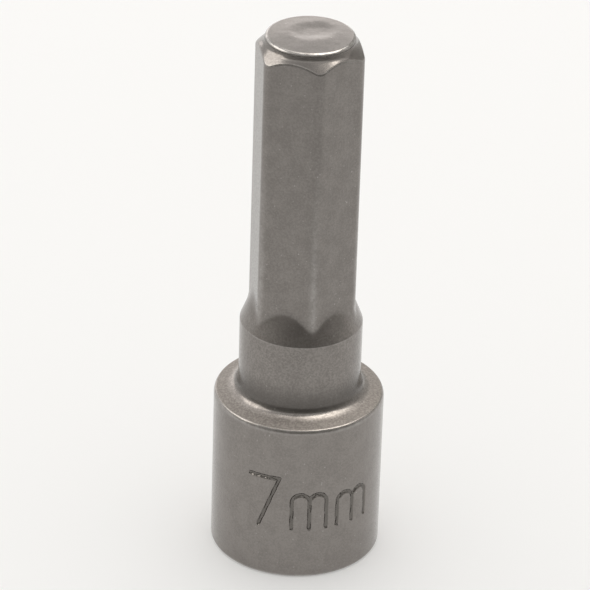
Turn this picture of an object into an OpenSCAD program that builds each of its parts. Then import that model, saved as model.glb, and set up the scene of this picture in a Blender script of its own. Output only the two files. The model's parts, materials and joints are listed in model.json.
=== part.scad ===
// Magnetic nut driver. A forged body carries a hexagonal drive shank, a round neck and a
// socket head in one piece of steel, and a disc magnet is set in a pocket behind the socket.
// The driver stands on the rim of its socket, with its axis along Z and one corner of the
// shank towards -Y. Lengths are in millimetres, angles in degrees.

/* [Socket] */
// Width across flats of the nut that the socket turns
nut_af = 7; // [6:0.25:9]
// Room between the nut and the socket, across the flats
nut_clearance = 0.1; // [0.05:0.05:0.3]
// Depth from the rim to the seat that the nut comes to rest on
socket_depth = 5.5; // [4:0.25:7]
// Radius in the six inner corners of the socket
socket_corner_r = 0.25; // [0.1:0.05:0.5]
// How far the lead-in at the mouth reaches outside the socket's corners
mouth_lead = 0.25; // [0.1:0.05:0.6]
// Slope of the lead-in, from the plane of the rim
mouth_angle = 45; // [30:5:60]

/* [Head] */
// Steel between the socket's corners and the outside of the head
head_wall = 1.44; // [1:0.02:3]
// Length from the rim to the outer edge of the shoulder
head_len = 11; // [9:0.1:16]
// Radius on the outer edge of the rim
rim_edge_r = 0.25; // [0.05:0.05:0.5]
// Radius on the outer edge of the shoulder
shoulder_edge_r = 0.2; // [0.04:0.02:0.3]
// Slope of the land round the shoulder, which falls outwards
land_angle = 16; // [0:1:30]

/* [Neck] */
// Diameter of the round neck between the head and the shank
neck_d = 7.9; // [7.5:0.1:9]
// Length from the shoulder to the top edge of the neck
neck_len = 5.25; // [3:0.05:12]
// Radius in the inner corner where the neck meets the shoulder
neck_fillet_r = 0.8; // [0.2:0.05:1.1]
// Half angle of the cone that runs the neck out into the shank's flats
runout_angle = 22; // [15:1:45]

/* [Shank] */
// Width of the shank across its flats
shank_af = 6.35; // [5.5:0.05:6.8]
// Length from the top edge of the neck to the end face
shank_len = 20.2; // [14:0.05:60]
// Radius on the six corners of the shank
shank_corner_r = 0.6; // [0.2:0.05:1]

/* [Shank end] */
// Diameter of the raised button on the end face
button_d = 5.65; // [4.6:0.05:6]
// Height of the button above the start of the end chamfer
button_h = 0.5; // [0.46:0.02:0.8]
// Radius on the edge of the button
button_edge_r = 0.16; // [0.04:0.02:0.2]
// Radius in the inner corner under the button
button_fillet_r = 0.7; // [0.2:0.05:0.8]
// Slope of the end chamfer, from the plane of the end face
chamfer_angle = 45; // [40:1:60]
// Diameter of the shallow dish pressed in the end face
dish_d = 3; // [1:0.1:4]
// Depth of the dish at its middle
dish_depth = 0.1; // [0.02:0.02:0.3]

/* [Magnet] */
// Diameter of the magnet
magnet_d = 6; // [4:0.25:6.5]
// Thickness of the magnet
magnet_t = 3; // [1:0.25:4]
// Chamfer on both edges of the magnet
magnet_chamfer = 0.15; // [0.05:0.05:0.4]
// Room for the bonding resin between the magnet and its pocket, on the radius
magnet_clearance = 0.03; // [0.01:0.01:0.1]
// How far the magnet lies behind the nut's seat
magnet_recess = 0.2; // [0:0.05:0.5]

/* [Part to show] */
// Sub-part to draw

/* [Hidden] */
$fn = 128;
arc_steps = 6;
hex_sides = 6;
hex_turn = 360 / hex_sides;
half_turn = hex_turn / 2;
// Extra length of a cutter or a hidden root, so that no two faces fall together
overrun = 1;

socket_af = nut_af + nut_clearance;
socket_corner = corner_reach(socket_af, socket_corner_r);
mouth_r = socket_corner + mouth_lead;
pocket_r = magnet_d / 2 + magnet_clearance;
pocket_floor_z = socket_depth + magnet_recess + magnet_t;
head_r = socket_corner + head_wall;
neck_r = neck_d / 2;
fillet_r = neck_r + neck_fillet_r;
fillet_z = head_len + (head_r - fillet_r) * tan(land_angle) + neck_fillet_r / cos(land_angle);
neck_top_z = head_len + neck_len;
end_z = neck_top_z + shank_len;
button_r = button_d / 2;
chamfer_z = end_z - button_h;
dish_r = dish_d / 2;

// Points along an arc about a centre, between two angles
function arc(centre, r, from, to) =
    [for (i = [0:arc_steps]) let (a = from + (to - from) * i / arc_steps) centre + r * [cos(a), sin(a)]];

// Distance from the axis to the rounded corners of a hexagon
function corner_reach(af, r) = (af / 2 - r) / cos(half_turn) + r;

// Hexagon with rounded corners, one of them towards -Y
function hexagon(af, r) = let (reach = corner_reach(af, r) - r)
    [for (k = [0:hex_sides - 1]) let (a = k * hex_turn - 90)
        each arc(reach * [cos(a), sin(a)], r, a - half_turn, a + half_turn)];

// Half profile of the head and neck, closed by the run-out cone that ends inside the shank
function head_profile() =
    let (edge_turn = 90 - land_angle, edge_drop = shoulder_edge_r * tan(edge_turn / 2))
    concat(
        [[0, 0]],
        arc([head_r - rim_edge_r, rim_edge_r], rim_edge_r, -90, 0),
        arc([head_r - shoulder_edge_r, head_len - edge_drop], shoulder_edge_r, 0, edge_turn),
        arc([fillet_r, fillet_z], neck_fillet_r, 270 - land_angle, 180),
        [[neck_r, neck_top_z], [0, neck_top_z + neck_r / tan(runout_angle)]]);

// Half profile that the end of the shank is formed to: chamfer, button and dish
function end_profile() =
    let (fillet_rise = button_fillet_r * tan((90 - chamfer_angle) / 2),
         dish_arc_r = (dish_r * dish_r + dish_depth * dish_depth) / (2 * dish_depth),
         dish_sweep = asin(dish_r / dish_arc_r))
    concat(
        [[0, 0], [neck_r, 0], [neck_r, chamfer_z - (neck_r - button_r) * tan(chamfer_angle)]],
        arc([button_r + button_fillet_r, chamfer_z + fillet_rise], button_fillet_r, 270 - chamfer_angle, 180),
        arc([button_r - button_edge_r, end_z - button_edge_r], button_edge_r, 0, 90),
        arc([0, end_z - dish_depth + dish_arc_r], dish_arc_r, dish_sweep - 90, -90));

// Hexagonal shank, rooted in the neck, with its corners blended at the end
module shank()
    intersection() {
        translate([0, 0, neck_top_z - overrun])
            linear_extrude(shank_len + 2 * overrun) polygon(hexagon(shank_af, shank_corner_r));
        rotate_extrude() polygon(end_profile());
    }

// Hollow of the head: the hexagon for the nut, its lead-in and the magnet's pocket
module socket_hollow() {
    translate([0, 0, -overrun])
        linear_extrude(socket_depth + overrun) polygon(hexagon(socket_af, socket_corner_r));
    rotate_extrude()
        polygon([[0, -overrun], [mouth_r + overrun / tan(mouth_angle), -overrun],
                 [0, mouth_r * tan(mouth_angle)]]);
    translate([0, 0, socket_depth - overrun])
        cylinder(h = pocket_floor_z - socket_depth + overrun, r = pocket_r);
}

module driver_body()
    color("#86837e")
    difference() {
        union() {
            rotate_extrude() polygon(head_profile());
            shank();
        }
        socket_hollow();
    }

// Plated disc magnet, bedded on the floor of its pocket
module magnet()
    color("#c9c8c4")
    translate([0, 0, pocket_floor_z - magnet_t])
    rotate_extrude()
        polygon([[0, 0], [magnet_d / 2 - magnet_chamfer, 0], [magnet_d / 2, magnet_chamfer],
                 [magnet_d / 2, magnet_t - magnet_chamfer], [magnet_d / 2 - magnet_chamfer, magnet_t],
                 [0, magnet_t]]);

driver_body();
magnet();
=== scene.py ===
import json
import math

import bpy
import numpy as np
from mathutils import Euler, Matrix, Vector

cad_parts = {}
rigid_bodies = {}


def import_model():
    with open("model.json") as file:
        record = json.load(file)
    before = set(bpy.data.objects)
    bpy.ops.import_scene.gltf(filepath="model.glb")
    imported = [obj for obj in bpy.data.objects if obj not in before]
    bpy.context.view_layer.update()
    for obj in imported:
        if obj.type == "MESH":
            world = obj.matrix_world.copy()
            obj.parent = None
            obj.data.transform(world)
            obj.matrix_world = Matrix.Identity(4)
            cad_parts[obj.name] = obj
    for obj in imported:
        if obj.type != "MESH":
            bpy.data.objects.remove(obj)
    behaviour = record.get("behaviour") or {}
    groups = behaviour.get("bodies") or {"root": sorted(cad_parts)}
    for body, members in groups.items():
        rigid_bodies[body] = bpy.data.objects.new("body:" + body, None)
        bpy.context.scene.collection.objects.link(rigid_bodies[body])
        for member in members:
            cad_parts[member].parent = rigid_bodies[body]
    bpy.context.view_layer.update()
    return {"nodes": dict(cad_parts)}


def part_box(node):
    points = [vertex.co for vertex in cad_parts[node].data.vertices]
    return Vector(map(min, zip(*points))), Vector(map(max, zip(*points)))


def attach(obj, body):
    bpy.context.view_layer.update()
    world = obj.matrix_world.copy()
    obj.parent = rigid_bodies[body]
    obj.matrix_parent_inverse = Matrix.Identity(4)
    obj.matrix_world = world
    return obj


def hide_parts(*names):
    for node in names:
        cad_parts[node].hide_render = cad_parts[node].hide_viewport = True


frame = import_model()
mm = 0.001
print("frame loaded:", ", ".join(sorted(frame["nodes"])))

bodyLow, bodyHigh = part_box("driver_body")
headRadius = (bodyHigh.x - bodyLow.x) / 2 / mm
endHeight = bodyHigh.z / mm


# Turned and forged forms of the driver, in millimetres and degrees
driverShape = {
    "pocketRadius": 3.03, "pocketFloor": 8.7,                 # magnet's pocket
    "socketFlats": 7.1, "socketCorner": 0.25, "socketDepth": 5.5,
    "mouthLead": 0.25, "mouthAngle": 45.0,
    "pocketEdge": 0.05, "seatEdge": 0.12, "leadEdge": 0.1, "mouthEdge": 0.08,
    "rimEdge": 0.25, "shoulderEdge": (0.34, 0.17), "headLength": 11.0, "shoulderAngle": 16.0,
    "neckFillet": (0.8, 1.3), "filletSharp": 2.2,             # reach along the land and up the neck
    "turnedFade": (1.5, 3),                                   # how fast the turned finish runs out
    "neckRadius": 3.95, "neckTop": 16.25, "neckEdge": 0.06, "runoutAngle": 22.0, "runoutBlend": 0.5,
    "shankFlats": 6.35, "shankCorner": 0.75,
    "ridgeHighlight": 0.65, "ridgeHalf": 0.2, "ridgeTop": -0.5,    # painted highlight along the ridges, broken up like wear, spent below the chamfer
    "chamferAngle": 45.0, "chamferEdge": 0.12,
    "buttonRadius": 2.8, "buttonFoot": 2.87, "buttonHeight": 0.5, "buttonEdge": 0.2, "buttonFillet": 0.2,
}

# End face: slightly crowned, with a shallow cut-off mark a little behind the middle
endDish = {
    "rimDrop": 0.09, "crown": 0.085,
    "centre": (0.25, 0.42), "reach": (1.75, 1.5), "depth": 0.095, "flatShare": 0.225,
    "uneven": 0.07, "unevenPerMm": 2.1, "unevenSeed": 5,      # wandering outline of the mark
    "waves": 0.012, "wavesPerMm": (2.6, 3.4), "wavesFade": 0.75, "wavesSeed": 9,
    "rings": 22,
}

# Size mark cut into the head: lengths run round the head from the shank's front corner
sizeMark = {
    "baseline": 3.75, "digitTop": 7.39, "archTop": (6.27, 6.04), "archSpring": (5.69, 5.48),
    "sevenLeft": -4.2, "sevenRight": -2.17, "sevenFoot": -3.53,
    "legs": ((-1.32, -0.16, 0.97), (1.74, 2.9, 4.05)),         # three legs to each m
    "floorHalf": 0.05, "mouthHalf": 0.185, "depth": 0.09, "archPoints": 13,
    "pitting": 0.04, "pitsPerMm": 14, "pitSeed": 4,           # floor of the cut
    "wander": 0.012, "wanderPerMm": 9, "wanderSeed": 3,       # sides of the cut
    "margin": 0.32, "cell": 0.036,
}

meshSteps = {"turn": 1.5, "cornerTurn": 0.5, "cornerReach": 4.5, "hold": 0.03}


def hexRadius(turn, flats, rounding):   # polar outline of a rounded hexagon, corner at turn 0
    away = np.radians((np.asarray(turn) + 30.0) % 60.0 - 30.0)
    side = flats / 2 / np.cos(math.pi / 6 - np.abs(away))
    centre = (flats / 2 - rounding) / math.cos(math.pi / 6)
    under = np.maximum(rounding ** 2 - (centre * np.sin(away)) ** 2, 0.0)
    nose = centre * np.cos(away) + np.sqrt(under)
    limit = math.atan2(rounding / 2, centre + rounding * math.cos(math.pi / 6))
    return np.where(np.abs(away) < limit, nose, side)


def columnTurns():                      # columns round the axis, closer at the hexagon's corners
    reach, fine, wide = meshSteps["cornerReach"], meshSteps["cornerTurn"], meshSteps["turn"]
    sector = [*np.arange(-reach, reach, fine), *np.arange(reach, 60.0 - reach, wide)]
    return np.array([60.0 * k - 180.0 + t for k in range(6) for t in sector])


def smoothStep(low, high, value):
    share = np.clip((value - low) / (high - low), 0.0, 1.0)
    return share * share * (3.0 - 2.0 * share)


# A corner of the profile: radius, height, how far its rounding reaches (or before and after it), rows in it,
# wear on it, shares of the turned finish and of the painted highlight on the shank's ridges before and after
# it, and how sharp the rounding is, where 1 gives an arc
def corner(radius, height, reach=0.0, rows=1, wearAndShine=0.0, turned=(0.0, 0.0), ridges=(0.0, 0.0), sharp=1.0):
    return {"at": (radius, height), "reach": reach, "rows": rows, "wearAndShine": wearAndShine, "turned": turned,
            "ridges": ridges, "sharp": sharp}


def profileCorners(turn):
    s = driverShape
    slope = math.tan(math.radians(s["runoutAngle"]))
    fall = math.tan(math.radians(s["chamferAngle"]))
    lead = math.tan(math.radians(s["mouthAngle"]))
    socket = hexRadius(turn, s["socketFlats"], s["socketCorner"])
    shank = hexRadius(turn, s["shankFlats"], s["shankCorner"])
    mouth = float(hexRadius(0.0, s["socketFlats"], s["socketCorner"])) + s["mouthLead"]
    neckFoot = s["headLength"] + (headRadius - s["neckRadius"]) * math.tan(math.radians(s["shoulderAngle"]))
    chamferTop, rimHeight = endHeight - s["buttonHeight"], endHeight - endDish["rimDrop"]
    return [
        corner(s["pocketRadius"], s["pocketFloor"]),
        corner(s["pocketRadius"], s["socketDepth"], s["pocketEdge"], rows=4),
        corner(socket, s["socketDepth"], s["seatEdge"], rows=5),
        corner(socket, (mouth - socket) * lead, s["leadEdge"], rows=5, wearAndShine=0.5),
        corner(mouth, 0.0, s["mouthEdge"], rows=5, wearAndShine=0.8),
        corner(headRadius, 0.0, s["rimEdge"], rows=9, wearAndShine=0.9),
        corner(headRadius, markLow),
        corner(headRadius, markHigh),
        corner(headRadius, s["headLength"], s["shoulderEdge"], rows=10, wearAndShine=0.6, turned=(0.0, 1.0)),
        corner(s["neckRadius"], neckFoot, s["neckFillet"], rows=30, turned=(1.0, 0.0),
               sharp=s["filletSharp"]),
        corner(s["neckRadius"], s["neckTop"], s["neckEdge"], rows=5, wearAndShine=0.4),
        corner(shank, s["neckTop"] + (s["neckRadius"] - shank) / slope, s["runoutBlend"], rows=14,
               ridges=(0.0, 1.0)),
        corner(shank, chamferTop - (shank - s["buttonFoot"]) * fall, s["chamferEdge"], rows=7, wearAndShine=0.6,
               ridges=(s["ridgeTop"], 0.0)),
        corner(s["buttonFoot"], chamferTop, s["buttonFillet"], rows=12),
        corner(s["buttonRadius"], rimHeight, s["buttonEdge"], rows=9, wearAndShine=1.0),
        corner(0.0, rimHeight),
    ]


# Strokes of the size mark as open lines of points (length round the head, height)
def markStrokes():
    m = sizeMark
    strokes = [[(m["sevenLeft"], m["digitTop"]), (m["sevenRight"], m["digitTop"]),
                (m["sevenFoot"], m["baseline"])]]
    for legs, spring, top in zip(m["legs"], m["archSpring"], m["archTop"]):
        strokes += [[(x, m["baseline"]), (x, spring)] for x in legs]
        for left, right in zip(legs, legs[1:]):
            middle, half = (left + right) / 2, (right - left) / 2
            strokes.append([(middle - half * math.cos(a), spring + (top - spring) * math.sin(a))
                            for a in np.linspace(0.0, math.pi, m["archPoints"])])
    return strokes


def strokeDistance(along, height):      # distance from each point to the nearest stroke
    nearest = np.full(along.shape, 1e3)
    for stroke in markStrokes():
        for (x0, z0), (x1, z1) in zip(stroke, stroke[1:]):
            dx, dz = x1 - x0, z1 - z0
            share = np.clip(((along - x0) * dx + (height - z0) * dz) / (dx * dx + dz * dz), 0.0, 1.0)
            nearest = np.minimum(nearest, np.hypot(along - x0 - share * dx, height - z0 - share * dz))
    return nearest


def ripple(x, y, seed):                 # smooth, repeatable unevenness from a few crossed waves
    waves = np.random.default_rng(seed)
    total = np.zeros(np.shape(x))
    for count in range(1, 7):
        turn, phase = waves.uniform(0.0, 2 * math.pi, 2)
        total += np.sin(count * (x * math.cos(turn) + y * math.sin(turn)) + phase) / count
    return total / 2.0


def endFace(x, y):                      # height of the end face, from the level of its rim
    d = endDish
    flatRadius = driverShape["buttonRadius"] - driverShape["buttonEdge"]
    dome = d["crown"] * np.maximum(1.0 - (x * x + y * y) / flatRadius ** 2, 0.0)
    away = np.hypot((x - d["centre"][0]) / d["reach"][0], (y - d["centre"][1]) / d["reach"][1])
    away = away + d["uneven"] * ripple(d["unevenPerMm"] * x, d["unevenPerMm"] * y, d["unevenSeed"])
    bowl = d["depth"] * (1.0 - smoothStep(d["flatShare"], 1.0, away))
    inside = 1.0 - smoothStep(d["wavesFade"], 1.0, np.hypot(x, y) / driverShape["buttonRadius"])
    waves = 0.5 + 0.5 * ripple(d["wavesPerMm"][0] * x, d["wavesPerMm"][1] * y, d["wavesSeed"])
    return dome - bowl - inside * d["waves"] * waves


def profileRows(turn):
    corners, hold = profileCorners(turn), meshSteps["hold"]
    fadeOut, fadeIn = driverShape["turnedFade"]
    away = np.radians((turn + 30.0) % 60.0 - 30.0) * driverShape["shankFlats"] / 2
    # Painted highlight along the shank's corner ridges, brightest at the shank's foot and fading out below
    # the chamfer
    ridge = driverShape["ridgeHighlight"] * np.exp(-(away / driverShape["ridgeHalf"]) ** 2)
    points = [np.array([np.broadcast_to(v, turn.shape) for v in c["at"]], float) for c in corners]
    rows = []                           # each row: (radius, height) for every column, wear with the painted ridge highlight, turned finish
    for k, c in enumerate(corners):
        here = points[k]
        if c["rows"] == 1:
            rows.append((here, c["wearAndShine"], 0.0))
            continue
        ends = [(other - here) / np.hypot(*(other - here)) for other in (points[k - 1], points[k + 1])]
        before, after = (here + e * reach for e, reach in zip(ends, np.broadcast_to(c["reach"], 2)))
        weight = c["sharp"] * np.sqrt((1.0 - (ends[0] * ends[1]).sum(axis=0)) / 2)    # 1 gives a true arc
        rows.append((before + ends[0] * hold, ridge * c["ridges"][0], c["turned"][0]))
        for share in np.linspace(0.0, 1.0, c["rows"]):
            pulls = ((1 - share) ** 2, 2 * share * (1 - share) * weight, share ** 2)
            at = (pulls[0] * before + pulls[1] * here + pulls[2] * after) / sum(pulls)
            brightening = ridge * ((1 - share) * c["ridges"][0] + share * c["ridges"][1])
            wearAndShine = np.maximum(brightening, c["wearAndShine"] * math.sin(math.pi * share))
            finish = c["turned"][0] * (1.0 - share) ** fadeOut + c["turned"][1] * share ** fadeIn
            rows.append((at, wearAndShine, finish))
        rows.append((after + ends[1] * hold, ridge * c["ridges"][1], c["turned"][1]))
    return rows


def buildDriver():
    turn = columnTurns()
    count = len(turn)
    rows = profileRows(turn)
    rows.pop()                          # the axis at the end face: rings take its place
    edge, rimHeight = rows[-1][0].mean(axis=1)
    for radius in np.linspace(edge, 0.0, endDish["rings"] + 1)[1:-1]:
        rows.append((np.array([np.full(count, radius), np.full(count, rimHeight)]), 0.0, 0.0))
    low = next(i for i, (at, _, _) in enumerate(rows) if abs(at[1][0] - markLow) < 1e-9)
    angle = np.radians(turn - 90.0)
    verts, masks, index = [], [], []

    def addVerts(x, y, z, wearAndShine=0.0, groove=0.0, turned=0.0):
        start = len(masks)
        verts.extend(zip(x, y, z))
        masks.extend(zip(*(np.broadcast_to(mask, np.shape(x)) for mask in (wearAndShine, groove, turned))))
        return np.arange(start, len(masks))

    for (radius, height), wearAndShine, turned in rows:
        x, y = radius * np.cos(angle), radius * np.sin(angle)
        z = height.copy()
        top = (radius < edge + 1e-6) & (height > rimHeight - 1e-6)
        z[top] += endFace(x, y)[top]
        index.append(addVerts(x, y, z, wearAndShine, 0.0, turned))
    pocketPole = addVerts([0.0], [0.0], [driverShape["pocketFloor"]])[0]
    endPole = addVerts([0.0], [0.0], [rimHeight + float(endFace(np.zeros(1), np.zeros(1))[0])])[0]

    # Fine patch for the size mark, between columns first and last of rows low and low + 1
    first, last = (int(np.argmin(np.abs(turn - t))) for t in (markLeft, markRight))
    fineTurn, atColumn = [], {}
    for j in range(first, last):
        atColumn[j] = len(fineTurn)
        parts = math.ceil((turn[j + 1] - turn[j]) / math.degrees(sizeMark["cell"] / headRadius))
        fineTurn += list(np.linspace(turn[j], turn[j + 1], parts, endpoint=False))
    atColumn[last] = len(fineTurn)
    fineTurn = np.array(fineTurn + [turn[last]])
    fineHeight = np.linspace(markLow, markHigh, math.ceil((markHigh - markLow) / sizeMark["cell"]) + 1)
    along = np.radians(fineTurn)[None, :] * headRadius + 0.0 * fineHeight[:, None]
    height = fineHeight[:, None] + 0.0 * along
    m = sizeMark
    wander = m["wander"] * ripple(m["wanderPerMm"] * along, m["wanderPerMm"] * height, m["wanderSeed"])
    cut = 1.0 - smoothStep(m["floorHalf"], m["mouthHalf"], strokeDistance(along, height) + wander)
    pits = m["pitting"] * ripple(m["pitsPerMm"] * along, m["pitsPerMm"] * height, m["pitSeed"])
    depth = cut * (m["depth"] + pits)
    patch = np.zeros(depth.shape, int)
    for i in range(len(fineHeight)):
        a, r = np.radians(fineTurn - 90.0), headRadius - depth[i]
        patch[i] = addVerts(r * np.cos(a), r * np.sin(a), height[i], 0.0, cut[i])
    for i, k in ((0, low), (-1, low + 1)):      # patch corners and edges share the row's own vertices
        for j in range(first, last + 1):
            patch[i][atColumn[j]] = index[k][j]

    def chain(k, j):                    # vertices of row k from column j to the next
        if k in (low, low + 1) and first <= j < last:
            return list(patch[0 if k == low else -1][atColumn[j]:atColumn[j + 1] + 1])
        return [index[k][j], index[k][(j + 1) % count]]

    def side(k, j):                     # vertices between rows k and k + 1 on column j
        if k == low and j in (first, last):
            return list(patch[1:-1, atColumn[j]])
        return []

    faces = []
    for k in range(len(rows) - 1):
        for j in range(count):
            if k == low and first <= j < last:
                continue
            nextColumn = (j + 1) % count
            faces.append(chain(k, j) + side(k, nextColumn) + chain(k + 1, j)[::-1] + side(k, j)[::-1])
    for i in range(patch.shape[0] - 1):
        for j in range(patch.shape[1] - 1):
            faces.append([patch[i][j], patch[i][j + 1], patch[i + 1][j + 1], patch[i + 1][j]])
    for j in range(count):
        nextColumn = (j + 1) % count
        faces.append([pocketPole, index[0][nextColumn], index[0][j]])
        faces.append([index[-1][j], index[-1][nextColumn], endPole])

    # Patch edges were given the row's vertices, so their own copies are left out
    faces = [[int(v) for v in f] for f in faces]
    used = sorted({v for f in faces for v in f})
    renumber = {v: i for i, v in enumerate(used)}
    mesh = bpy.data.meshes.new("driverBody")
    mesh.from_pydata([tuple(c * mm for c in verts[v]) for v in used], [],
                     [[renumber[v] for v in f] for f in faces])
    for column, name in enumerate(("wearAndShine", "groove", "turned")):
        layer = mesh.attributes.new(name, "FLOAT", "POINT")
        layer.data.foreach_set("value", np.array([masks[v][column] for v in used], np.float32))
    mesh.polygons.foreach_set("use_smooth", [True] * len(mesh.polygons))
    mesh.validate()
    mesh.update()
    body = bpy.data.objects.new("driverBody", mesh)
    bpy.context.scene.collection.objects.link(body)
    return body


markLow = sizeMark["baseline"] - sizeMark["mouthHalf"] - sizeMark["margin"]
markHigh = sizeMark["digitTop"] + sizeMark["mouthHalf"] + sizeMark["margin"]
markLeft, markRight = (math.degrees((edge + sign * (sizeMark["mouthHalf"] + sizeMark["margin"])) / headRadius)
                       for edge, sign in ((sizeMark["sevenLeft"], -1), (sizeMark["legs"][-1][-1], 1)))
driverBody = buildDriver()
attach(driverBody, "root")
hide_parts("driver_body")
print("driver body:", len(driverBody.data.polygons), "faces")


# Shader groups shared by the metal finishes: ranges are cut from noise that runs from 0 to 1
grainPattern = {
    "speckle": (0.36, 0.66), "clouds": (0.3, 0.7), "glints": (0.71, 0.81),
    "glintScale": 0.8, "cellDepth": 0.6,
}
wearPattern = {"patches": (0.32, 0.68), "least": 0.3}
scuffPattern = {                        # tilt of each set of lines, and how it is drawn out
    "lines": ((0.5, (1.0, 0.06, 1.0)), (-0.9, (0.06, 1.0, 1.0)), (1.3, (1.0, 1.0, 0.06))),
    "lean": 0.7, "width": 0.012,
}


def newGroup(name, inputs, outputs):
    group = bpy.data.node_groups.new(name, "ShaderNodeTree")
    for socket, kind, value in inputs:
        made = group.interface.new_socket(socket, in_out="INPUT", socket_type=kind)
        if value is not None:
            made.default_value = value
    for socket, kind in outputs:
        group.interface.new_socket(socket, in_out="OUTPUT", socket_type=kind)
    return group, group.nodes.new("NodeGroupInput"), group.nodes.new("NodeGroupOutput")


def addNode(tree, kind, settings=None, values=None):
    node = tree.nodes.new(kind)
    for name, value in (settings or {}).items():
        setattr(node, name, value)
    for name, value in (values or {}).items():
        if isinstance(value, bpy.types.NodeSocket):
            tree.links.new(value, node.inputs[name])
        else:
            node.inputs[name].default_value = value
    return node


def mathNode(tree, operation, a, b=0.0, clamp=False):
    node = addNode(tree, "ShaderNodeMath", {"operation": operation, "use_clamp": clamp}, {0: a, 1: b})
    return node.outputs[0]


def mapRange(tree, value, low, high, toLow=0.0, toHigh=1.0, smooth=True):
    kind = "SMOOTHSTEP" if smooth else "LINEAR"
    return addNode(tree, "ShaderNodeMapRange", {"interpolation_type": kind},
                   {"Value": value, "From Min": low, "From Max": high,
                    "To Min": toLow, "To Max": toHigh}).outputs["Result"]


def mixColour(tree, share, first, second):
    node = addNode(tree, "ShaderNodeMix", {"data_type": "RGBA"})
    for slot, value in ((0, share), (6, first), (7, second)):
        if isinstance(value, bpy.types.NodeSocket):
            tree.links.new(value, node.inputs[slot])
        else:
            node.inputs[slot].default_value = value
    return node.outputs[2]


def blastGrainGroup():                  # pits and mottling left by blasting, and sparse spots for painted glints
    group, given, made = newGroup(
        "blastGrain",
        [("Vector", "NodeSocketVector", None), ("Pits per mm", "NodeSocketFloat", 12.0),
         ("Clouds per mm", "NodeSocketFloat", 1.1)],
        [("Height", "NodeSocketFloat"), ("Speckle", "NodeSocketFloat"), ("Clouds", "NodeSocketFloat"),
         ("Glints", "NodeSocketFloat")])
    pits = addNode(group, "ShaderNodeTexNoise", None,
                   {"Vector": given.outputs["Vector"], "Scale": given.outputs["Pits per mm"],
                    "Detail": 3.0, "Roughness": 0.62})
    cells = addNode(group, "ShaderNodeTexVoronoi", {"feature": "SMOOTH_F1"},
                    {"Vector": given.outputs["Vector"], "Scale": given.outputs["Pits per mm"],
                     "Smoothness": 0.6})
    clouds = addNode(group, "ShaderNodeTexNoise", None,
                     {"Vector": given.outputs["Vector"], "Scale": given.outputs["Clouds per mm"],
                      "Detail": 4.0, "Roughness": 0.55})
    sparks = addNode(group, "ShaderNodeTexNoise", None,
                     {"Vector": given.outputs["Vector"], "Detail": 1.0,
                      "Scale": mathNode(group, "MULTIPLY", given.outputs["Pits per mm"],
                                        grainPattern["glintScale"])})
    height = mathNode(group, "MULTIPLY_ADD", cells.outputs["Distance"], grainPattern["cellDepth"])
    group.links.new(pits.outputs["Fac"], height.node.inputs[2])
    group.links.new(height, made.inputs["Height"])
    for noise, name in ((pits, "speckle"), (clouds, "clouds"), (sparks, "glints")):
        shown = mapRange(group, noise.outputs["Fac"], *grainPattern[name])
        group.links.new(shown, made.inputs[name.capitalize()])
    return group


def edgeWearGroup():                    # uneven rubbing along the edges that a mask names; on the shank's ridges it draws a painted highlight
    group, given, made = newGroup(
        "edgeWear",
        [("Vector", "NodeSocketVector", None), ("Edge", "NodeSocketFloat", 0.0),
         ("Patches per mm", "NodeSocketFloat", 2.5), ("Reach", "NodeSocketFloat", 0.5)],
        [("Worn", "NodeSocketFloat")])
    patches = addNode(group, "ShaderNodeTexNoise", None,
                      {"Vector": given.outputs["Vector"], "Scale": given.outputs["Patches per mm"],
                       "Detail": 4.0, "Roughness": 0.65})
    uneven = mapRange(group, patches.outputs["Fac"], *wearPattern["patches"])
    base = mathNode(group, "MULTIPLY_ADD", uneven, 1.0 - wearPattern["least"])
    base.node.inputs[2].default_value = wearPattern["least"]
    reached = mathNode(group, "MULTIPLY", given.outputs["Edge"], given.outputs["Reach"])
    group.links.new(mathNode(group, "MULTIPLY", reached, base, True), made.inputs["Worn"])
    return group


def scuffGroup():                       # faint crossing hairlines from handling
    group, given, made = newGroup(
        "scuffs",
        [("Vector", "NodeSocketVector", None), ("Lines per mm", "NodeSocketFloat", 3.0)],
        [("Scuff", "NodeSocketFloat")])
    lines = []
    for tilt, squeeze in scuffPattern["lines"]:
        turned = addNode(group, "ShaderNodeMapping", None,
                         {"Vector": given.outputs["Vector"], "Scale": squeeze,
                          "Rotation": (tilt, scuffPattern["lean"] * tilt, tilt)})
        noise = addNode(group, "ShaderNodeTexNoise", None,
                        {"Vector": turned.outputs["Vector"], "Scale": given.outputs["Lines per mm"],
                         "Detail": 2.0, "Roughness": 0.5})
        band = mathNode(group, "ABSOLUTE", mathNode(group, "SUBTRACT", noise.outputs["Fac"], 0.5))
        lines.append(mapRange(group, band, 0.0, scuffPattern["width"], 1.0, 0.0))
    crossed = mathNode(group, "MAXIMUM", mathNode(group, "MAXIMUM", lines[0], lines[1]), lines[2])
    group.links.new(crossed, made.inputs["Scuff"])
    return group


blastGrain, edgeWear, scuffs = blastGrainGroup(), edgeWearGroup(), scuffGroup()


def useGroup(tree, group, values):
    return addNode(tree, "ShaderNodeGroup", {"node_tree": group}, values)


def newMetal(name):
    material = bpy.data.materials.new(name)
    material.use_nodes = True
    tree = material.node_tree
    tree.nodes.clear()
    shader = addNode(tree, "ShaderNodeBsdfPrincipled", None, {"Metallic": 1.0})
    output = addNode(tree, "ShaderNodeOutputMaterial")
    tree.links.new(shader.outputs["BSDF"], output.inputs["Surface"])
    place = addNode(tree, "ShaderNodeTexCoord").outputs["Object"]
    inMillimetres = addNode(tree, "ShaderNodeVectorMath", {"operation": "SCALE"},
                            {0: place, "Scale": 1.0 / mm}).outputs[0]
    return material, tree, shader, inMillimetres


def axisDistance(tree, place):
    split = addNode(tree, "ShaderNodeSeparateXYZ", None, {0: place})
    flat = addNode(tree, "ShaderNodeCombineXYZ", None,
                   {"X": split.outputs["X"], "Y": split.outputs["Y"]}).outputs[0]
    return addNode(tree, "ShaderNodeVectorMath", {"operation": "LENGTH"}, {0: flat}).outputs["Value"]
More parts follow.
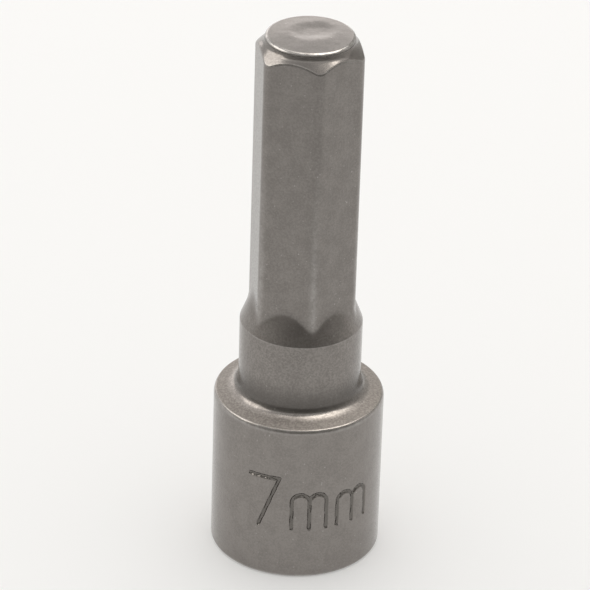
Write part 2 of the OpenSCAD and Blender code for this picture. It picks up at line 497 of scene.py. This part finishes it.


# Blasted steel: warm grey, finely pitted, a little brighter where edges rub, with painted glints, a painted
# highlight on the shank's ridges and painted shade at the neck's foot. Radii and heights are in millimetres,
# and pairs of them say where a zone fades in
blastedSteel = {
    "colour": (0.257, 0.239, 0.224, 1.0), "dark": (0.2, 0.185, 0.173, 1.0),
    "pitsPerMm": 7.5, "cloudsPerMm": 0.9, "speckleShare": 0.55, "cloudShare": 0.45,
    "roughness": (0.16, 0.25), "bump": 0.16, "bumpDepth": 0.004,
    "worn": (0.52, 0.505, 0.485, 1.0), "wornRoughness": 0.24, "wearReach": 0.7, "wearPerMm": 2.2,
    "glintShare": 0.4, "scuffShare": 0.02, "scuffsPerMm": 0.5,
    "headRadii": (4.3, 5.3), "headLift": 0.25,                # head paler
    "neckRadii": (3.45, 3.8), "neckSpeckle": 0.45,            # neck coarser than the head
    "shankDrop": 0.2, "shankBump": 0.15,                      # shank darker and smoother
    "turned": (0.325, 0.301, 0.279, 1.0), "turnedDark": (0.213, 0.194, 0.178, 1.0),
    "turnedRoughness": 0.65, "turnedBump": 1.0, "turnedEdge": 4.0,
    "ringsPerMm": 14.0, "ringDetail": 3.0, "ringDepth": 0.3, "ringRange": (0.3, 0.7), "ringLeast": 0.7,
    "creaseShadeColour": (0.1, 0.093, 0.086, 1.0), "creaseShadeShare": 0.8,  # painted shade at the foot of the neck
    "creaseHeights": (11.9, 13.85), "creaseRadii": (4.0, 4.3),
    # darker colour in the mark's cut, most along its floor
    "groove": (0.125, 0.117, 0.107, 1.0), "cutDarkening": 0.75, "cutDarkRange": (0.1, 0.6),
    "endRoughness": 0.28, "endDepth": (0.5, 0.3),             # shank's end, from its top
}


def blastedSteelMaterial():
    look = blastedSteel
    material, tree, shader, place = newMetal("blastedSteel")
    grain = useGroup(tree, blastGrain, {"Vector": place, "Pits per mm": look["pitsPerMm"],
                                        "Clouds per mm": look["cloudsPerMm"]})
    edge, groove, turned = (addNode(tree, "ShaderNodeAttribute", {"attribute_name": name}).outputs["Fac"]
                            for name in ("wearAndShine", "groove", "turned"))
    fromAxis = axisDistance(tree, place)
    rings = addNode(tree, "ShaderNodeTexNoise", {"noise_dimensions": "1D"},
                    {"W": fromAxis, "Scale": look["ringsPerMm"],
                     "Detail": look["ringDetail"]}).outputs["Fac"]
    head, thick = (mapRange(tree, fromAxis, *look[radii]) for radii in ("headRadii", "neckRadii"))
    worn = useGroup(tree, edgeWear, {"Vector": place, "Edge": edge, "Patches per mm": look["wearPerMm"],
                                     "Reach": look["wearReach"]}).outputs["Worn"]
    scuff = useGroup(tree, scuffs, {"Vector": place, "Lines per mm": look["scuffsPerMm"]}).outputs["Scuff"]

    # Colour: grain and zones first, then the turned land, painted shade at the neck's foot, painted glints,
    # wear with a painted highlight on the ridges, and the darker cut of the mark
    tone = mathNode(tree, "MULTIPLY_ADD", grain.outputs["Speckle"], look["speckleShare"])
    clouds = mathNode(tree, "MULTIPLY", grain.outputs["Clouds"], look["cloudShare"])
    tree.links.new(clouds, tone.node.inputs[2])
    tone = mathNode(tree, "ADD", tone, mathNode(tree, "MULTIPLY", head, look["headLift"]))
    tone = mathNode(tree, "ADD", tone, mapRange(tree, thick, 0.0, 1.0, -look["shankDrop"], 0.0))
    neck = mathNode(tree, "MULTIPLY", thick, mapRange(tree, head, 0.0, 1.0, 1.0, 0.0))
    spread = look["neckSpeckle"] / 2
    coarse = mapRange(tree, grain.outputs["Speckle"], 0.0, 1.0, -spread, spread, False)
    tone = mathNode(tree, "ADD", tone, mathNode(tree, "MULTIPLY", neck, coarse))
    colour = mixColour(tree, tone, look["dark"], look["colour"])
    ringed = mathNode(tree, "MULTIPLY", turned,
                      mapRange(tree, rings, *look["ringRange"], look["ringLeast"], 1.0))
    torn = mixColour(tree, grain.outputs["Speckle"], look["turnedDark"], look["turned"])
    colour = mixColour(tree, ringed, colour, torn)
    upward = addNode(tree, "ShaderNodeSeparateXYZ", None, {0: place}).outputs["Z"]
    # Painted shade: darker colour at the neck's foot, fading up the neck and out onto the land's inner edge
    creaseShade = mapRange(tree, upward, *look["creaseHeights"], look["creaseShadeShare"], 0.0)
    creaseShade = mathNode(tree, "MULTIPLY", creaseShade, mapRange(tree, fromAxis, *look["creaseRadii"], 1.0, 0.0))
    colour = mixColour(tree, creaseShade, colour, look["creaseShadeColour"])
    # Painted glints: sparse spots lightened towards the worn colour, mixed in like the scuffs and edge wear
    glints = mathNode(tree, "MULTIPLY", grain.outputs["Glints"], look["glintShare"])
    for brightening in (glints, mathNode(tree, "MULTIPLY", scuff, look["scuffShare"]), worn):
        colour = mixColour(tree, brightening, colour, look["worn"])
    # Darker colour in the size mark's cut, strongest along its floor
    cutDarkened = mapRange(tree, groove, *look["cutDarkRange"], 0.0, look["cutDarkening"])
    colour = mixColour(tree, cutDarkened, colour, look["groove"])
    tree.links.new(colour, shader.inputs["Base Color"])

    # Roughness, and relief from the pits and the turned rings
    low, high = look["roughness"]
    rough = mapRange(tree, grain.outputs["Speckle"], 0.0, 1.0, high, low, False)
    rasped = mathNode(tree, "POWER", turned, look["turnedEdge"])
    atEnd = mapRange(tree, upward, *(endHeight - depth for depth in look["endDepth"]))
    for mask, value in ((rasped, look["turnedRoughness"]), (atEnd, look["endRoughness"]),
                        (worn, look["wornRoughness"])):
        rough = addNode(tree, "ShaderNodeMix", {"data_type": "FLOAT"},
                        {0: mask, 2: rough, 3: value}).outputs[0]
    tree.links.new(rough, shader.inputs["Roughness"])
    pitting = mathNode(tree, "MULTIPLY_ADD", rasped, look["turnedBump"])
    tree.links.new(mapRange(tree, thick, 0.0, 1.0, look["shankBump"], 1.0), pitting.node.inputs[2])
    pitted = mathNode(tree, "MULTIPLY", grain.outputs["Height"], pitting)
    relief = mathNode(tree, "MULTIPLY_ADD", mathNode(tree, "MULTIPLY", rasped, rings), look["ringDepth"])
    tree.links.new(pitted, relief.node.inputs[2])
    bump = addNode(tree, "ShaderNodeBump", None,
                   {"Strength": look["bump"], "Distance": look["bumpDepth"] * mm, "Height": relief})
    tree.links.new(bump.outputs["Normal"], shader.inputs["Normal"])
    return material


# Plated magnet: brighter and smoother, clouded, with hairlines
platedNickel = {
    "colour": (0.62, 0.6, 0.56, 1.0), "clouded": (0.5, 0.485, 0.455, 1.0),
    "pitsPerMm": 6.0, "cloudsPerMm": 0.7, "bump": 0.1, "bumpDepth": 0.003,
    "worn": (0.72, 0.7, 0.67, 1.0), "edgeRadii": (2.75, 3.0), "wearReach": 0.6,
    "roughness": (0.2, 0.3), "scuffsPerMm": 0.9, "scuffRoughness": 0.12,
}


def platedNickelMaterial():
    look = platedNickel
    material, tree, shader, place = newMetal("platedNickel")
    grain = useGroup(tree, blastGrain, {"Vector": place, "Pits per mm": look["pitsPerMm"],
                                        "Clouds per mm": look["cloudsPerMm"]})
    edge = mapRange(tree, axisDistance(tree, place), *look["edgeRadii"])
    worn = useGroup(tree, edgeWear, {"Vector": place, "Edge": edge,
                                     "Reach": look["wearReach"]}).outputs["Worn"]
    scuff = useGroup(tree, scuffs, {"Vector": place, "Lines per mm": look["scuffsPerMm"]}).outputs["Scuff"]
    colour = mixColour(tree, grain.outputs["Clouds"], look["clouded"], look["colour"])
    colour = mixColour(tree, worn, colour, look["worn"])
    tree.links.new(colour, shader.inputs["Base Color"])
    low, high = look["roughness"]
    rough = mathNode(tree, "MULTIPLY_ADD", scuff, look["scuffRoughness"])
    tree.links.new(mapRange(tree, grain.outputs["Clouds"], 0.0, 1.0, high, low), rough.node.inputs[2])
    tree.links.new(rough, shader.inputs["Roughness"])
    bump = addNode(tree, "ShaderNodeBump", None,
                   {"Strength": look["bump"], "Distance": look["bumpDepth"] * mm,
                    "Height": grain.outputs["Height"]})
    tree.links.new(bump.outputs["Normal"], shader.inputs["Normal"])
    return material


driverBody.data.materials.append(blastedSteelMaterial())
magnet = frame["nodes"]["magnet"]
magnet.data.materials.clear()
magnet.data.materials.append(platedNickelMaterial())
print("finishes: blasted steel on the body, plated nickel on the magnet")


# Photograph's view: the anchor is the point of the axis that the measured numbers refer to
photoView = {
    "framePixels": 590.0, "focalPixels": 4098.0, "distance": 260.8, "elevation": 28.95, "azimuth": -11.5,
    "roll": 1.89, "anchorHeight": 19.81, "anchorPixel": (302.9, 269.0), "sensor": 36.0, "clipStart": 1.0,
}


def addCamera():
    v = photoView
    data = bpy.data.cameras.new("photoCamera")
    data.sensor_width = v["sensor"]
    data.lens = v["focalPixels"] / v["framePixels"] * v["sensor"]
    data.clip_start = v["clipStart"] * mm
    camera = bpy.data.objects.new("photoCamera", data)
    bpy.context.scene.collection.objects.link(camera)
    azimuth, elevation = math.radians(v["azimuth"]), math.radians(v["elevation"])
    back = Vector((math.sin(azimuth) * math.cos(elevation), -math.cos(azimuth) * math.cos(elevation),
                   math.sin(elevation)))
    anchor = Vector((0.0, 0.0, v["anchorHeight"] * mm))
    camera.location = anchor + back * v["distance"] * mm
    right = (v["anchorPixel"][0] - v["framePixels"] / 2) / v["focalPixels"]
    down = (v["anchorPixel"][1] - v["framePixels"] / 2) / v["focalPixels"]
    aim = (-back).to_track_quat("-Z", "Y")
    roll = Euler((0.0, 0.0, math.radians(v["roll"]))).to_quaternion()
    nudge = Euler((math.atan(down), math.atan(right), 0.0)).to_quaternion()
    camera.rotation_mode = "QUATERNION"
    camera.rotation_quaternion = aim @ roll @ nudge
    bpy.context.scene.camera = camera


addCamera()
print("camera: photograph's view, from", photoView["distance"], "mm")

# Studio: pale floor and backdrop, a softbox on either side, a panel overhead, a bright wall at the back,
# and a darker room on the viewer's side that goes on to the right as a grey flag
studio = {
    "floorColour": (0.92, 0.917, 0.907, 1.0), "floorHalf": 1500.0,
    "floorLevel": -0.02,                                      # just clear of the rim that stands on it
    "floorLift": (0.2, 0.45), "floorShown": 1.0,              # backdrop's share, seen and in the metal
    "nearFloorShade": 0.84, "nearStarts": 0.0, "nearEnds": -70.0,  # painted shade: floor colour and glow darken a little towards the viewer
    "paintRoughness": 0.9, "paintGloss": 0.1,
    "world": (0.75, 1.17),                                    # light from the front and from the back
    "backdrop": (1.0, 0.992, 0.977, 1.0), "ceiling": (0.55, 0.545, 0.535, 1.0),
    "ceilingStarts": 0.7, "ceilingEnds": 1.0,                 # heights of the sky's direction
    "lamps": {
        "leftBox": {"from": (-133.0, 36.0, 120.0), "size": (140.0, 95.0), "radiance": 2.15,
                    "colour": (1.0, 0.965, 0.92), "onFloor": False},
        "rightBox": {"from": (157.0, 0.0, 389.0), "size": (280.0, 260.0), "radiance": 3.7,
                     "colour": (1.0, 0.96, 0.9), "onFloor": False},
        "topPanel": {"from": (15.0, 90.0, 400.0), "size": (270.0, 320.0), "radiance": 1.8, "level": True,
                     "colour": (1.0, 0.965, 0.92), "onFloor": False},
        "backWall": {"from": (73.0, 400.0, 125.0), "size": (640.0, 200.0), "radiance": 1.0,
                     "colour": (1.0, 0.94, 0.915)},
    },
    "room": {"centre": -5.0, "half": 100.0, "flagEnd": 155.0, "flagShare": 0.48, "parts": 52,
             "away": 180.0, "low": 2.0, "high": 165.0,
             "front": (0.28, 0.275, 0.266, 1.0), "side": (0.85, 0.845, 0.83, 1.0)},
}


def addLamp(name, spec):
    data = bpy.data.lights.new(name, "AREA")
    data.shape = "RECTANGLE"
    data.size, data.size_y = (side * mm for side in spec["size"])
    data.energy = spec["radiance"] * math.pi * data.size * data.size_y   # watts for that radiance
    data.color = spec["colour"]
    lamp = bpy.data.objects.new(name, data)
    bpy.context.scene.collection.objects.link(lamp)
    lamp.location = Vector(spec["from"]) * mm
    if not spec.get("level"):           # a level panel faces straight down
        aim = Vector((0.0, 0.0, endHeight / 2 * mm)) - lamp.location
        lamp.rotation_euler = aim.to_track_quat("-Z", "Y").to_euler()
    lamp.visible_camera = False
    lamp.visible_diffuse = spec.get("onFloor", True)


def seenDirectly(tree):                 # 1 for rays that show the backdrop itself
    path = addNode(tree, "ShaderNodeLightPath")
    shown = mathNode(tree, "MAXIMUM", path.outputs["Is Camera Ray"], path.outputs["Is Glossy Ray"])
    return mathNode(tree, "MAXIMUM", shown, path.outputs["Is Transmission Ray"])


def addWorld():
    world = bpy.data.worlds.new("studioWorld")
    bpy.context.scene.world = world
    world.use_nodes = True
    tree = world.node_tree
    tree.nodes.clear()
    direction = addNode(tree, "ShaderNodeSeparateXYZ", None,
                        {0: addNode(tree, "ShaderNodeTexCoord").outputs["Generated"]})
    strength = mapRange(tree, direction.outputs["Y"], -1.0, 1.0, *studio["world"], False)
    light = addNode(tree, "ShaderNodeBackground", None, {"Color": studio["backdrop"], "Strength": strength})
    overhead = mapRange(tree, direction.outputs["Z"], studio["ceilingStarts"], studio["ceilingEnds"])
    sky = mixColour(tree, overhead, studio["backdrop"], studio["ceiling"])
    shown = addNode(tree, "ShaderNodeBackground", None, {"Color": sky, "Strength": 1.0})
    mix = addNode(tree, "ShaderNodeMixShader", None, {0: seenDirectly(tree)})
    output = addNode(tree, "ShaderNodeOutputWorld")
    tree.links.new(light.outputs[0], mix.inputs[1])
    tree.links.new(shown.outputs[0], mix.inputs[2])
    tree.links.new(mix.outputs[0], output.inputs["Surface"])


def stageSheet(name, corners, faces, colour):
    mesh = bpy.data.meshes.new(name)
    mesh.from_pydata([tuple(c * mm for c in at) for at in corners], [], faces)
    plane = bpy.data.objects.new(name, mesh)
    bpy.context.scene.collection.objects.link(plane)
    material = bpy.data.materials.new(name + "Paint")
    material.use_nodes = True
    shader = material.node_tree.nodes["Principled BSDF"]
    shader.inputs["Base Color"].default_value = colour
    shader.inputs["Roughness"].default_value = studio["paintRoughness"]
    shader.inputs["Specular IOR Level"].default_value = studio["paintGloss"]
    mesh.materials.append(material)
    return plane, material.node_tree, shader


def addFloor():
    half, level = studio["floorHalf"], studio["floorLevel"]
    corners = [(-half, -half, level), (half, -half, level), (half, half, level), (-half, half, level)]
    _, tree, shader = stageSheet("floor", corners, [(0, 1, 2, 3)], studio["floorColour"])
    place = addNode(tree, "ShaderNodeSeparateXYZ", None,
                    {0: addNode(tree, "ShaderNodeTexCoord").outputs["Object"]})
    # Painted shade: the floor's colour and glow darken towards the viewer
    dimmed = mapRange(tree, place.outputs["Y"], studio["nearStarts"] * mm, studio["nearEnds"] * mm)
    nearShadeColour = [c * studio["nearFloorShade"] for c in studio["floorColour"][:3]] + [1.0]
    tree.links.new(mixColour(tree, dimmed, studio["floorColour"], nearShadeColour), shader.inputs["Base Color"])
    glowing = mapRange(tree, dimmed, 0.0, 1.0, studio["floorShown"], studio["nearFloorShade"], False)
    glow = addNode(tree, "ShaderNodeEmission", None, {"Color": studio["backdrop"], "Strength": glowing})
    mirrored = addNode(tree, "ShaderNodeLightPath").outputs["Is Glossy Ray"]
    lift = mapRange(tree, mirrored, 0.0, 1.0, *studio["floorLift"], False)
    share = mathNode(tree, "MULTIPLY", seenDirectly(tree), lift)
    mix = addNode(tree, "ShaderNodeMixShader", None, {0: share})
    tree.links.new(shader.outputs[0], mix.inputs[1])
    tree.links.new(glow.outputs[0], mix.inputs[2])
    tree.links.new(mix.outputs[0], tree.nodes["Material Output"].inputs["Surface"])


def addRoom():                          # an arc of wall that the metal looks out on, lighter at its sides
    r = studio["room"]
    turns = np.linspace(r["centre"] - r["half"], r["flagEnd"], r["parts"] + 1)
    corners = [(math.sin(t) * r["away"], -math.cos(t) * r["away"], z)
               for t in np.radians(turns) for z in (r["low"], r["high"])]
    faces = [(2 * k, 2 * k + 2, 2 * k + 3, 2 * k + 1) for k in range(r["parts"])]
    room, tree, shader = stageSheet("room", corners, faces, r["front"])
    across = np.repeat((turns - r["centre"]) / r["half"], 2)
    flag = np.tile((1.0, r["flagShare"]), len(turns))          # darker towards its top
    share = np.where(across < 1.0 + 1e-6, across ** 2, flag)
    layer = room.data.attributes.new("side", "FLOAT", "POINT")
    layer.data.foreach_set("value", share.astype(np.float32))
    side = addNode(tree, "ShaderNodeAttribute", {"attribute_name": "side"}).outputs["Fac"]
    tree.links.new(mixColour(tree, side, r["front"], r["side"]), shader.inputs["Base Color"])
    room.visible_camera = room.visible_diffuse = room.visible_shadow = False


for lampName, lampSpec in studio["lamps"].items():
    addLamp(lampName, lampSpec)
addWorld()
addFloor()
addRoom()
bpy.context.scene.view_settings.view_transform = "Standard"
print("studio: floor, room and", len(studio["lamps"]), "softboxes")
